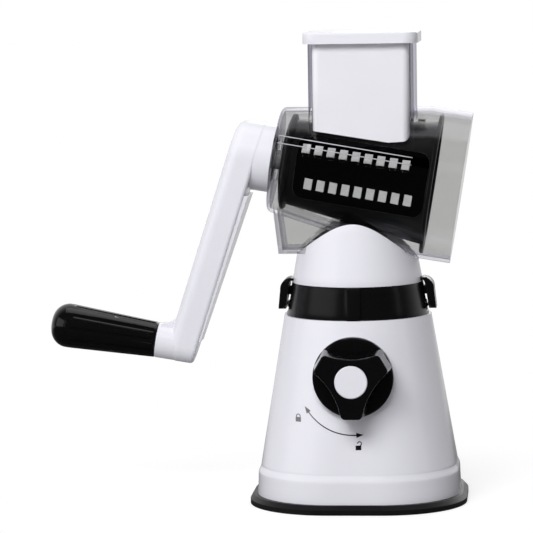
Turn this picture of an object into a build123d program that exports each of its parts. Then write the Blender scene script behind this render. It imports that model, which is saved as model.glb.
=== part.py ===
"""Rotary drum shredder for the kitchen worktop.

A hollow base stands on a rubber suction foot, which a knob and cam lift at its middle.
A black collar on the base carries two rocker latches that hold the white neck. The neck
carries a clear tilted barrel with a feed chute, in which a crank turns a conical drum
with three toothed steel panels. Millimetres, Z up, origin on the worktop under the base,
X towards the open end of the barrel, knob on the -Y side.
"""
from build123d import *
import os
from math import acos, asin, atan2, cos, degrees, hypot, radians, sin, sqrt, tan

# ------------------------------------------------------------------ driving dimensions

# Clearances
RUNNING = 0.05           # radial play of a shaft in its bore
FREE = 0.4               # gap between mouldings that move past each other
SLIP = 0.15              # gap between mouldings that plug together

# Suction foot (rubber), square in plan with large round corners
PAD_HALF = 72.0
PAD_CORNER = 54.0
PAD_HEIGHT = 6.0
PAD_LIP = 3.2            # height of the upright edge, under the bevel
PAD_BEVEL = 2.6
PAD_MEMBRANE = 3.4
PAD_GROOVE = 0.8         # depth of the suction groove in the underside

# Base ring and tower (white)
RING_HEIGHT = 9.5
BASE_HALF = 66.8         # half width at the seam between ring and tower
BASE_CORNER = 52.0
SKIRT_HEIGHT = 4.0       # upright part of the tower above the seam
FLARE_HEIGHT = 6.5
TOWER_HALF_LOW = 64.7    # half width just above the flare
TOWER_HALF_TOP = 48.9
TOWER_CORNER_TOP = 47.8
TOWER_TOP = 124.0
WALL = 2.6
POST_AT = 42.0           # screw posts, from the middle in X and in Y
POST_R = 4.5

# Knob, cam and lifting rod
KNOB_Z = 88.8
KNOB_R = 26.4
KNOB_DISC = 5.0
KNOB_DEPTH = 25.0        # from the back of the disc to the face of the lobes
LOBES = 3
CAP_R = 10.6
BOSS_R = 23.5            # round seat on the tower behind the knob
BOSS_PROUD = 0.1686      # its face, beyond the tower's wall at the knob's lower edge
SHAFT_R = 5.0
CAM_R = 9.0              # heel of the cam
CAM_LIFT = 4.0
CAM_TURN = 70.0          # degrees from released to locked
CAM_THICK = 8.0
ROD_R = 4.0
ROD_FOOT_R = 9.0
ROD_FOOT_Z = 7.0

# Collar, latches and neck
COLLAR_R_LOW = 47.5
COLLAR_R_TOP = 43.6
COLLAR_HEIGHT = 21.5
COLLAR_WALL = 2.5
LATCH_HALF = 9.0         # half width of a latch
LATCH_PIVOT_R = 48.4
LATCH_PIVOT_UP = 14.5    # above the foot of the collar
LATCH_PIN_R = 1.0
LUG_HALF = 4.0           # half width of the collar's lug inside a latch
NECK_TAPER = 0.175       # how much the radius falls for each mm of height
NECK_WALL = 2.6
SADDLE_R = 39.4          # round cut across the top of the neck
SADDLE_UP = 56.1         # its centre line above the top of the collar
SADDLE_TILT = 3.0
FLANGE = 3.2             # clear flange that lies in the saddle

# Barrel, along its own tilted axis: s runs towards the open end, from the axis' middle
TILT = 9.4
AXIS_UP = 16.7           # the axis' middle above the centre line of the saddle
BARREL_END = -55.0
BARREL_SHOULDER = 43.0
BARREL_MOUTH = 70.7
DRUM_ROOM_SMALL = 0.6    # room round the drum's small flange, at the end wall
DRUM_ROOM_BIG = 1.2      # room round the drum's large flange
BARREL_WALL = 2.2
FOOT_HALF = 23.0         # half width of the box under the barrel
CHUTE_X = 5.4
CHUTE_SIDE = 68.9
CHUTE_CORNER = 7.0
CHUTE_UP = 85.7          # rim of the chute above the axis' middle
CHUTE_WALL = 2.3

# Drum
DRUM_LEFT = -46.0        # crest of the small flange
DRUM_RIGHT = 50.7        # middle of the large flange
DRUM_R_LEFT = 28.1       # cone at the small flange
DRUM_R_RIGHT = 41.3      # cone at the large flange
FLANGE_RISE_LEFT = 4.0   # the flanges stand this far above the cone
FLANGE_RISE_RIGHT = 5.7
DRUM_WALL = 2.4
PANELS = 3
PANEL_FROM = -38.6
PANEL_TO = 48.4
PANEL_HALF = 21.3        # half height of a panel, seen square on
PANEL_THICK = 0.8
TEETH = 9
TOOTH_PITCH = 8.3
TOOTH_WIDE = 5.2
TOOTH_LONG = 6.8
TOOTH_HIGH = 2.0
ROW_AT = 11.1            # each row, from the middle line of its panel
ROW_STAGGER = 2.3

# Crank
HUB_R = 22.8
CRANK_THROW = 132.4
ARM_THICK = 19.6
ARM_LEAN = 9.2           # degrees that the arm leans away from the base
GRIP_LONG = 71.5
GRIP_R_ARM = 11.9
GRIP_R_END = 14.8
FLUTES = 10
FLUTE_R = 2.3
AXLE_R = 4.0

# Pusher
PUSHER_WALL = 2.2
CAP_HEIGHT = 7.4
CAP_OVERHANG = 3.2
PUSHER_EDGE = 24.4       # lowest edge above the barrel's axis

# ------------------------------------------------------------------ derived places

SEAM_Z = PAD_HEIGHT + RING_HEIGHT
FLARE_Z = SEAM_Z + SKIRT_HEIGHT
TAPER_Z = FLARE_Z + FLARE_HEIGHT
COLLAR_TOP = TOWER_TOP + COLLAR_HEIGHT
SADDLE_Z = COLLAR_TOP + SADDLE_UP
AXIS_Z = SADDLE_Z + AXIS_UP
CHUTE_TOP = AXIS_Z + CHUTE_UP
FLANGE_R_LEFT = DRUM_R_LEFT + FLANGE_RISE_LEFT
FLANGE_R_RIGHT = DRUM_R_RIGHT + FLANGE_RISE_RIGHT
BARREL_R_SMALL = FLANGE_R_LEFT + DRUM_ROOM_SMALL + BARREL_WALL
BARREL_R_BIG = FLANGE_R_RIGHT + DRUM_ROOM_BIG + BARREL_WALL
PUSHER_SIDE = CHUTE_SIDE - 2 * (CHUTE_WALL + FREE)
DRUM_TAPER = (DRUM_R_RIGHT - DRUM_R_LEFT) / (DRUM_RIGHT - DRUM_LEFT)
BARREL_TAPER = (BARREL_R_BIG - BARREL_R_SMALL) / (BARREL_SHOULDER - BARREL_END)
HUB_FACE = BARREL_END - 1.1


def drum_r(s):
    """Outer radius of the drum's cone at a place along the axis."""
    return DRUM_R_LEFT + DRUM_TAPER * (s - DRUM_LEFT)


def barrel_r(s):
    """Outer radius of the barrel at a place along the axis."""
    return BARREL_R_SMALL + BARREL_TAPER * (min(s, BARREL_SHOULDER) - BARREL_END)


def neck_r(z):
    """Outer radius of the neck at a height."""
    return COLLAR_R_TOP - 0.2 - NECK_TAPER * (z - COLLAR_TOP)


def tower_half(z):
    """Half width of the tower above its flare."""
    share = (z - TAPER_Z) / (TOWER_TOP - TAPER_Z)
    return TOWER_HALF_LOW + share * (TOWER_HALF_TOP - TOWER_HALF_LOW)


BOSS_FACE = tower_half(KNOB_Z - KNOB_R) + BOSS_PROUD

# ------------------------------------------------------------------ shaping helpers

def on_barrel(shape):
    """Place a shape made along X on the tilted axis of the barrel."""
    return Pos(0, 0, AXIS_Z) * Rot(0, TILT, 0) * shape


def profile(points):
    """A face in the XZ plane from (x, z) points."""
    return Plane.XZ * make_face(Polyline(*points, close=True))


def turned(points):
    """Turn (along, radius) points about the X axis."""
    return revolve(profile(points), Axis.X)


def turned_up(points):
    """Turn (radius, height) points about the Z axis."""
    return revolve(profile(points), Axis.Z)


def slab(points, half):
    """An XZ outline, given thickness both ways along Y."""
    return extrude(profile(points), amount=half, both=True)


def rod_x(radius, start, end):
    return Pos(start, 0, 0) * Rot(0, 90, 0) * Cylinder(
        radius, end - start, align=(Align.CENTER, Align.CENTER, Align.MIN))


def rod_y(radius, start, end):
    return Pos(0, start, 0) * Rot(-90, 0, 0) * Cylinder(
        radius, end - start, align=(Align.CENTER, Align.CENTER, Align.MIN))


def rod_z(radius, start, end):
    return Pos(0, 0, start) * Cylinder(
        radius, end - start, align=(Align.CENTER, Align.CENTER, Align.MIN))


def rounded(half, corner, z):
    """A square with round corners, level, at a height."""
    return Pos(0, 0, z) * RectangleRounded(2 * half, 2 * half, corner)


def stack(sections):
    """Join (half, corner, z) squares, from low to high, with straight walls."""
    return loft([rounded(*section) for section in sections], ruled=True)


def corners(shape, at):
    """Four copies of a shape, at plus and minus the same distance in X and Y."""
    return [Pos(x, y, 0) * shape for x in (-at, at) for y in (-at, at)]


def mirrored(shape):
    """The same shape on the other side of the YZ plane."""
    return mirror(shape, about=Plane.YZ)


def spring(radius, wire, start, end, turns):
    """A coil spring along Z with square wire."""
    pitch = (end - start - wire) / turns
    path = Helix(pitch, end - start - wire, radius - wire / 2)
    section = Plane(path @ 0, z_dir=path % 0) * Rectangle(wire, wire)
    return Pos(0, 0, start + wire / 2) * sweep(section, path=path)


# ------------------------------------------------------------------ base

def tower_sections(inset):
    """Outline of the tower from its seam to its top, drawn in by a wall."""
    sections = [(BASE_HALF - inset, BASE_CORNER - inset, SEAM_Z)]
    steps = 5
    for i in range(steps + 1):
        share = i / steps
        ease = (1 - cos(share * radians(180))) / 2
        half = BASE_HALF - 0.1 + ease * (TOWER_HALF_LOW - BASE_HALF + 0.1)
        sections.append((half - inset, BASE_CORNER - 1.5 * share - inset,
                         FLARE_Z + share * FLARE_HEIGHT))
    sections.append((TOWER_HALF_TOP - inset, TOWER_CORNER_TOP - inset, TOWER_TOP))
    return sections


def suction_pad():
    """Rubber foot: thick rim, thin lifting middle, and a boss round the rod's foot."""
    body = stack([(PAD_HALF, PAD_CORNER, 0), (PAD_HALF, PAD_CORNER, PAD_LIP),
                  (PAD_HALF - PAD_BEVEL, PAD_CORNER - PAD_BEVEL, PAD_HEIGHT)])
    rim_half = PAD_HALF - 15
    pocket = stack([(rim_half, PAD_CORNER - 15, PAD_MEMBRANE),
                    (rim_half, PAD_CORNER - 15, PAD_HEIGHT + 1)])
    boss_r = ROD_FOOT_R + 5
    foot_top = ROD_FOOT_Z + 3
    boss = rod_z(boss_r, PAD_MEMBRANE - 0.5, foot_top + 3)
    groove = rod_z(PAD_HALF - 18, -1, PAD_GROOVE) - rod_z(boss_r + 8, -1, PAD_GROOVE)
    socket = rod_z(ROD_FOOT_R + 2 * RUNNING, ROD_FOOT_Z - 2 * RUNNING, foot_top + 2 * RUNNING)
    throat = rod_z(ROD_R + 0.5, foot_top, foot_top + 4)
    return body - pocket + boss - groove - socket - throat


def base_ring():
    """White ring that clamps the rubber foot and closes the tower from below."""
    outer = stack([(BASE_HALF + 0.4, BASE_CORNER, PAD_HEIGHT), (BASE_HALF, BASE_CORNER, SEAM_Z)])
    lip_out = BASE_HALF - WALL - SLIP - 0.1
    lip_in = lip_out - 2.6
    lip = stack([(lip_out, BASE_CORNER - WALL, SEAM_Z - 1), (lip_out, BASE_CORNER - WALL, FLARE_Z)])
    flange = PAD_HEIGHT + 3
    hollow = stack([(lip_in, BASE_CORNER - 5.2, flange), (lip_in, BASE_CORNER - 5.2, FLARE_Z + 1)])
    hole_half = BASE_HALF - 11
    hole = stack([(hole_half, BASE_CORNER - 6, PAD_HEIGHT - 1), (hole_half, BASE_CORNER - 6, flange + 1)])
    ring = outer + lip - hollow - hole
    lug = rod_z(6, PAD_HEIGHT, FRAME_Z)
    bore = rod_z(2.2, PAD_HEIGHT - 1, FRAME_Z + 1) + rod_z(4.2, PAD_HEIGHT - 1, FRAME_Z - 4)
    for place in corners(lug, POST_AT):
        ring += place
    for place in corners(bore, POST_AT):
        ring -= place
    return ring


FRAME_Z = 24.0           # underside of the inner frame's plate
FRAME_PLATE = 3.0
GUIDE_TOP = 42.0
CROSSBAR_Z = 64.0
CHEEK_IN = 13.0
CHEEK_OUT = 17.0


def base_housing():
    """Tower: one hollow moulding with a deck on top and a round seat for the knob."""
    outer = stack(tower_sections(0))
    inner = stack(tower_sections(WALL))
    deck = TOWER_TOP - WALL
    inner -= Pos(0, 0, deck + 50) * Box(200, 200, 100)
    inner += Pos(0, 0, SEAM_Z - 1) * extrude(RectangleRounded(
        2 * (BASE_HALF - WALL), 2 * (BASE_HALF - WALL), BASE_CORNER - WALL), amount=1.2)
    seat = Pos(0, 0, KNOB_Z) * rod_y(BOSS_R, -BOSS_FACE, -30)
    seat_hollow = Pos(0, 0, KNOB_Z) * rod_y(BOSS_R - WALL, -BOSS_FACE + WALL, -30)
    posts = rod_z(POST_R, FRAME_Z + FRAME_PLATE, 66) - rod_z(1.5, FRAME_Z, 46)
    shell = outer + seat - inner - seat_hollow
    for place in corners(posts, POST_AT):
        shell += place & outer
    shell -= Pos(0, 0, KNOB_Z) * rod_y(SHAFT_R + 0.3, -BOSS_FACE - 1, -40)
    shell -= rod_z(18, deck - 1, TOWER_TOP + 1)
    for place in corners(rod_z(1.6, deck - 1, TOWER_TOP + 1), COLLAR_SCREW_AT):
        shell -= place
    return shell


COLLAR_SCREW_AT = 25.5


def inner_frame():
    """Plate on the screw posts, with a guide for the rod and two cheeks for the shaft."""
    plate = Pos(0, 0, FRAME_Z) * extrude(RectangleRounded(96, 96, 8), amount=FRAME_PLATE)
    base = FRAME_Z + FRAME_PLATE - 0.5
    guide = rod_z(ROD_R + 3.5, base, GUIDE_TOP)
    cheek_r = 12.0
    cheek = Pos(0, 0, base) * extrude(Rectangle(2 * cheek_r, 2 * CHEEK_OUT), amount=KNOB_Z - base)
    cheek += Pos(0, 0, KNOB_Z) * rod_y(cheek_r, -CHEEK_OUT, CHEEK_OUT)
    gap = Pos(0, 0, base + 0.5) * extrude(Rectangle(60, 2 * CHEEK_IN), amount=120)
    bar = Pos(0, 0, CROSSBAR_Z) * extrude(Rectangle(16, 2 * CHEEK_OUT - 2), amount=3)
    frame = plate + guide + (cheek - gap) + guide + bar
    frame -= rod_z(ROD_R + RUNNING, FRAME_Z - 1, CROSSBAR_Z + 4)
    frame -= Pos(0, 0, KNOB_Z) * rod_y(SHAFT_R + RUNNING, -CHEEK_OUT - 1, CHEEK_OUT + 1)
    for place in corners(rod_z(2.2, FRAME_Z - 1, base + 1), POST_AT):
        frame -= place
    return frame


def base_screws():
    """Four screws from the ring up through the inner frame into the tower's posts."""
    head = rod_z(3.6, FRAME_Z - 6.5, FRAME_Z - 4)
    shank = rod_z(1.45, FRAME_Z - 4.2, FRAME_Z + 20)
    return corners(head + shank, POST_AT)


# ------------------------------------------------------------------ suction mechanism

def cam_face():
    """Involute cam: a flat follower rises evenly, CAM_LIFT over CAM_TURN degrees."""
    rate = CAM_LIFT / radians(CAM_TURN)

    def contact(turn):
        angle = radians(90 + turn)
        reach = CAM_R + rate * radians(turn)
        return (reach * cos(angle) - rate * sin(angle), reach * sin(angle) + rate * cos(angle))

    steps = 7
    flank = Spline(*[contact(CAM_TURN * i / steps) for i in range(steps + 1)])
    nose = contact(CAM_TURN)
    heel = atan2(nose[1], nose[0]) + acos(CAM_R / hypot(*nose))
    heel_point = (CAM_R * cos(heel), CAM_R * sin(heel))
    middle = (heel + radians(450)) / 2
    edges = [
        Line((0, CAM_R), contact(0)), flank, Line(nose, heel_point),
        ThreePointArc(heel_point, (CAM_R * cos(middle), CAM_R * sin(middle)), (0, CAM_R)),
    ]
    return make_face(edges)


def cam_shaft():
    """Shaft from the knob to the back cheek, with the cam moulded on and a D end."""
    end = -BOSS_FACE - FREE - KNOB_BORE
    shaft = rod_y(SHAFT_R, end + 0.4, CHEEK_OUT + 4)
    shaft += rod_y(SHAFT_R + 3, -BOSS_FACE + WALL + 0.3, -BOSS_FACE + WALL + 2.3)
    shaft += extrude(Plane.XZ * cam_face(), amount=CAM_THICK / 2, both=True)
    flat = Pos(0, end - 1, SHAFT_R - 1.5) * Box(
        20, KNOB_BORE + 1, 5, align=(Align.CENTER, Align.MIN, Align.MIN))
    groove = rod_y(9, CHEEK_OUT + 0.3, CHEEK_OUT + 1.5) - rod_y(SHAFT_R - 0.8, CHEEK_OUT, CHEEK_OUT + 2)
    pilot = rod_y(1.4, end, end + 12)
    return Pos(0, 0, KNOB_Z) * (shaft - flat - groove - pilot)


KNOB_BORE = 18.0         # depth of the D socket in the knob


def shaft_clip():
    """Spring clip in the groove behind the back cheek, open at the bottom."""
    ring = rod_y(SHAFT_R + 2.6, CHEEK_OUT + 0.4, CHEEK_OUT + 1.4)
    ring -= rod_y(SHAFT_R - 0.8 + RUNNING, CHEEK_OUT, CHEEK_OUT + 2)
    ring -= Pos(0, CHEEK_OUT + 1, -6) * Box(5.5, 4, 12)
    return Pos(0, 0, KNOB_Z) * ring


def lift_rod():
    """Rod with a foot in the rubber, a spring collar, and a yoke round the cam."""
    yoke_low = KNOB_Z - CAM_R - CAM_LIFT - 1.5
    yoke_high = KNOB_Z + CAM_R + RUNNING
    inside = CAM_R + CAM_LIFT + 1.8
    outside = inside + 4.2
    frame = Pos(0, 0, yoke_low - 4.5) * extrude(
        Rectangle(2 * outside, CAM_THICK), amount=yoke_high + 5 - yoke_low + 4.5)
    frame -= Pos(0, 0, yoke_low) * extrude(
        Rectangle(2 * inside, CAM_THICK + 2), amount=yoke_high - yoke_low)
    rod = rod_z(ROD_R, ROD_FOOT_Z, yoke_low - 4)
    foot = rod_z(ROD_FOOT_R, ROD_FOOT_Z, ROD_FOOT_Z + 3)
    collar = rod_z(ROD_R + 4, GUIDE_TOP + 2.5, GUIDE_TOP + 4.5)
    return frame + rod + foot + collar


def return_spring():
    """Presses the rod, and the rubber with it, down when the knob is released."""
    return spring(ROD_R + 3.6, 1.4, GUIDE_TOP + 4.7, CROSSBAR_Z - 0.3, 5)


def lobed_outline(reach, tip_half, corner, waist, z):
    """Outline with blunt lobes at 6, 2 and 10 o'clock, joined by hollow arcs through the waists."""
    step = radians(360 / LOBES)
    edges = []
    for i in range(LOBES):
        lobe = radians(-90) + i * step
        spread = atan2(tip_half, reach)
        far = hypot(reach, tip_half)
        first = (far * cos(lobe - spread), far * sin(lobe - spread))
        last = (far * cos(lobe + spread), far * sin(lobe + spread))
        follow = (far * cos(lobe + step - spread), far * sin(lobe + step - spread))
        middle = (waist * cos(lobe + step / 2), waist * sin(lobe + step / 2))
        edges += [Line(first, last), ThreePointArc(last, middle, follow)]
    face = make_face(edges)
    return Pos(0, 0, z) * fillet(face.vertices(), corner)


def knob():
    """Black knob: a round disc with a three-lobed grip that tapers to its face."""
    disc = rod_z(KNOB_R, 0, KNOB_DISC)
    disc = fillet(disc.edges().group_by(Axis.Z)[-1], 2.2)
    grip = loft([lobed_outline(KNOB_R - 0.6, 7.4, 3.6, 17.6, KNOB_DISC - 1.5),
                 lobed_outline(KNOB_R - 2.0, 6.6, 3.2, 14.4, KNOB_DEPTH)], ruled=True)
    grip = fillet(grip.edges().group_by(Axis.Z)[-1], 1.0)
    body = disc + grip
    recess = rod_z(CAP_R + 0.1, KNOB_DEPTH - 2.6, KNOB_DEPTH + 1)
    back = rod_z(BOSS_R + 0.4, -1, 3) - rod_z(SHAFT_R + 3.5, -2, 4)
    socket = rod_z(SHAFT_R + RUNNING, -1, KNOB_BORE)
    socket -= Pos(0, SHAFT_R - 1.5 + RUNNING, -1) * Box(
        20, 10, KNOB_BORE + 1, align=(Align.CENTER, Align.MIN, Align.MIN))
    screw = rod_z(1.7, KNOB_BORE - 1, KNOB_DEPTH) + rod_z(4.2, KNOB_BORE + 1.5, KNOB_DEPTH)
    return on_knob(body - recess - back - socket - screw)


def on_knob(shape):
    """Place a shape made along Z, back at 0, on the knob's axis, facing -Y."""
    return Pos(0, -BOSS_FACE - FREE, KNOB_Z) * Rot(90, 0, 0) * shape


def knob_cap():
    """White round cap pressed into the face of the knob."""
    cap = rod_z(CAP_R, KNOB_DEPTH - 2.6, KNOB_DEPTH + 0.5)
    return on_knob(chamfer(cap.edges().group_by(Axis.Z)[-1], 0.5))


def knob_screw():
    """Screw that holds the knob on the shaft, under the cap."""
    head = rod_z(3.8, KNOB_BORE + 1.5, KNOB_BORE + 3.7)
    return on_knob(head + rod_z(1.35, KNOB_BORE - 9, KNOB_BORE + 1.6))


# ------------------------------------------------------------------ collar and latches

def collar_r(z):
    """Outer radius of the collar at a height."""
    return COLLAR_R_LOW + (COLLAR_R_TOP - COLLAR_R_LOW) * (z - TOWER_TOP) / COLLAR_HEIGHT


PIVOT_Z = TOWER_TOP + LATCH_PIVOT_UP
WINDOW_LOW = TOWER_TOP + 1.8
WINDOW_TOP = PIVOT_Z - 1.0
LUG_EYE = LATCH_PIN_R + 1.0


def locking_collar():
    """Black collar, screwed on the tower, with a window and a lug for each latch."""
    floor = 2.6
    ring = turned_up([
        (COLLAR_R_LOW, TOWER_TOP), (COLLAR_R_TOP, COLLAR_TOP),
        (COLLAR_R_TOP - COLLAR_WALL, COLLAR_TOP),
        (collar_r(TOWER_TOP + floor) - COLLAR_WALL, TOWER_TOP + floor),
        (COLLAR_SCREW_AT * sqrt(2) - 6, TOWER_TOP + floor),
        (COLLAR_SCREW_AT * sqrt(2) - 6, TOWER_TOP),
    ])
    rib = slab([(-4.4, TOWER_TOP), (-4.4, COLLAR_TOP), (4.2, COLLAR_TOP), (4.2, TOWER_TOP)], 60)
    proud = turned_up([
        (COLLAR_R_LOW + 1.6, TOWER_TOP), (COLLAR_R_TOP + 1.5, COLLAR_TOP - 0.8),
        (COLLAR_R_TOP, COLLAR_TOP), (COLLAR_R_TOP - 1, COLLAR_TOP), (COLLAR_R_LOW - 1, TOWER_TOP),
    ])
    front = Pos(0, -60, TOWER_TOP) * Box(20, 60, 60)
    collar = ring + (rib & proud & front)
    lug = slab([(COLLAR_R_TOP - 1.5, WINDOW_TOP), (LATCH_PIVOT_R, PIVOT_Z - LUG_EYE),
                (LATCH_PIVOT_R, PIVOT_Z + LUG_EYE), (COLLAR_R_TOP - 1.5, PIVOT_Z + 5)], LUG_HALF)
    lug += Pos(LATCH_PIVOT_R, 0, PIVOT_Z) * rod_y(LUG_EYE, -LUG_HALF, LUG_HALF)
    lug -= Pos(LATCH_PIVOT_R, 0, PIVOT_Z) * rod_y(LATCH_PIN_R + RUNNING / 2, -30, 30)
    window = Pos(COLLAR_R_LOW, 0, WINDOW_LOW) * Box(
        20, 2 * LATCH_HALF + 2 * FREE, WINDOW_TOP - WINDOW_LOW,
        align=(Align.CENTER, Align.CENTER, Align.MIN))
    collar = collar - window - mirrored(window) + lug + mirrored(lug)
    for place in corners(rod_z(2.0, TOWER_TOP - 1, TOWER_TOP + floor + 1), COLLAR_SCREW_AT):
        collar -= place
    return collar


def collar_screws():
    """Four screws through the collar's inner flange into the tower's deck."""
    head = rod_z(3.4, TOWER_TOP + 2.6, TOWER_TOP + 4.6)
    return corners(head + rod_z(1.55, TOWER_TOP - 8, TOWER_TOP + 2.7), COLLAR_SCREW_AT)


NOSE_LOW = COLLAR_TOP + 1.0
NOSE_HIGH = COLLAR_TOP + 2.3
LATCH_TOP = COLLAR_TOP + 3.0


def latch():
    """Rocker latch for the +X side: nose at the top, thumb pad flared at the bottom."""
    low = TOWER_TOP + 3.6
    inner_low = collar_r(low) + 0.9
    face = Plane.XZ * make_face([
        Polyline((neck_r(NOSE_LOW) - 1.2, NOSE_LOW), (neck_r(NOSE_LOW) - 1.2, NOSE_HIGH),
                 (COLLAR_R_TOP + 0.8, LATCH_TOP)),
        ThreePointArc((COLLAR_R_TOP + 0.8, LATCH_TOP), (LATCH_PIVOT_R + 1.0, LATCH_TOP - 2.6),
                      (LATCH_PIVOT_R + 2.8, LATCH_TOP - 8.0)),
        Polyline((LATCH_PIVOT_R + 2.8, LATCH_TOP - 8.0), (inner_low + 4.8, low), (inner_low, low),
                 (collar_r(PIVOT_Z) + 1.2, PIVOT_Z), (COLLAR_R_TOP + 1.4, COLLAR_TOP - 0.6),
                 (COLLAR_R_TOP + 0.7, NOSE_LOW), (neck_r(NOSE_LOW) - 1.2, NOSE_LOW)),
    ])
    body = extrude(face, amount=LATCH_HALF, both=True)
    height = LATCH_TOP - low
    outline = Pos(0, 0, low) * Rot(0, 90, 0) * Pos(-height / 2, 0, 0) * extrude(
        RectangleRounded(height + 0.02, 2 * LATCH_HALF, 3.0), amount=80)
    body = body & outline
    slot = slab([(COLLAR_R_TOP - 3, PIVOT_Z - 3.9), (LATCH_PIVOT_R + LUG_EYE + 0.25, PIVOT_Z - 3.9),
                 (LATCH_PIVOT_R + LUG_EYE + 0.25, PIVOT_Z + 3.0), (LATCH_PIVOT_R - 1, PIVOT_Z + 6),
                 (COLLAR_R_TOP - 3, PIVOT_Z + 6)], LUG_HALF + FREE)
    body -= slot
    body -= Pos(LATCH_PIVOT_R, 0, PIVOT_Z) * rod_y(LATCH_PIN_R + RUNNING, PIN_FRONT - 0.2, 30)
    body -= Pos(0, 0, SPRING_Z) * rod_x(SPRING_R + 0.3, 40, SPRING_END + 0.1)
    return body


PIN_FRONT = -LATCH_HALF + 1.2
SPRING_R = 2.5
SPRING_Z = TOWER_TOP + 6.6
SPIGOT_R = COLLAR_R_TOP - COLLAR_WALL - FREE
SPRING_END = 48.6


def latch_spring():
    """Small coil spring between the latch's foot and the neck's spigot, on the +X side."""
    coil = spring(SPRING_R, 0.7, SPIGOT_R + 0.05, SPRING_END, 4)
    return Pos(0, 0, SPRING_Z) * Rot(0, 90, 0) * coil


def latch_pins():
    """One steel pin for each latch, through its cheeks and the collar's lug."""
    pin = Pos(LATCH_PIVOT_R, 0, PIVOT_Z) * rod_y(LATCH_PIN_R, PIN_FRONT, LATCH_HALF - 0.3)
    return [pin, mirrored(pin)]


# ------------------------------------------------------------------ neck

DECK_Z = COLLAR_TOP + 0.8
SPIGOT_LOW = TOWER_TOP + 4.9
NECK_SCREW_AT = 24.0


def saddle_tool(radius):
    """Round bar across the neck, level with the barrel's side, that shapes its top."""
    return Pos(0, 0, SADDLE_Z) * Rot(0, SADDLE_TILT, 0) * rod_x(radius, -90, 90)


def neck_cone(inset, low, high):
    """Tapered round body between two heights, drawn in by a wall."""
    return turned_up([(0, low), (neck_r(low) - inset, low), (neck_r(high) - inset, high), (0, high)])


def neck():
    """White neck: a tapered sleeve, cut to a saddle, with a spigot inside the collar."""
    body = neck_cone(0, COLLAR_TOP, SADDLE_Z) - saddle_tool(SADDLE_R)
    body -= neck_cone(NECK_WALL, DECK_Z + WALL, SADDLE_Z + 1)
    body += rod_z(SPIGOT_R, SPIGOT_LOW, DECK_Z) - rod_z(SPIGOT_R - WALL, SPIGOT_LOW - 1, DECK_Z)
    body -= rod_z(14, COLLAR_TOP - 1, DECK_Z + 5)
    slot = Pos(COLLAR_R_TOP, 0, NOSE_LOW - 0.3) * Box(
        5, 2 * LATCH_HALF + 0.8, 2.5, align=(Align.CENTER, Align.CENTER, Align.MIN))
    body = body - slot - mirrored(slot)
    for x in (-NECK_SCREW_AT, NECK_SCREW_AT):
        body -= Pos(x, 0, 0) * rod_z(2.2, COLLAR_TOP - 2, DECK_Z + 8)
    return body


def neck_screws():
    """Two screws from under the neck's deck into the barrel's foot."""
    head = rod_z(3.8, COLLAR_TOP - 2.4, COLLAR_TOP)
    screw = head + rod_z(1.45, COLLAR_TOP - 0.1, DECK_Z + WALL + 12)
    return [Pos(x, 0, 0) * screw for x in (-NECK_SCREW_AT, NECK_SCREW_AT)]


# ------------------------------------------------------------------ barrel

BUSH_R = 6.55            # outside of the shaft's bush
SOCKET_AT = -42.0        # bottom of the recess in the drum's end
BUSH_END = SOCKET_AT - 0.9


def barrel_body(offset, mouth):
    """Solid of revolution of the barrel, along X, grown by an offset."""
    points = [(BARREL_END - offset, 0), (BARREL_END - offset, BARREL_R_SMALL + offset),
              (BARREL_SHOULDER, BARREL_R_BIG + offset), (mouth, BARREL_R_BIG + offset), (mouth, 0)]
    return turned(points)


def chute_prism(side, corner, low, high):
    """Upright square prism of the feed chute."""
    return Pos(CHUTE_X, 0, low) * extrude(RectangleRounded(side, side, corner), amount=high - low)


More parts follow.
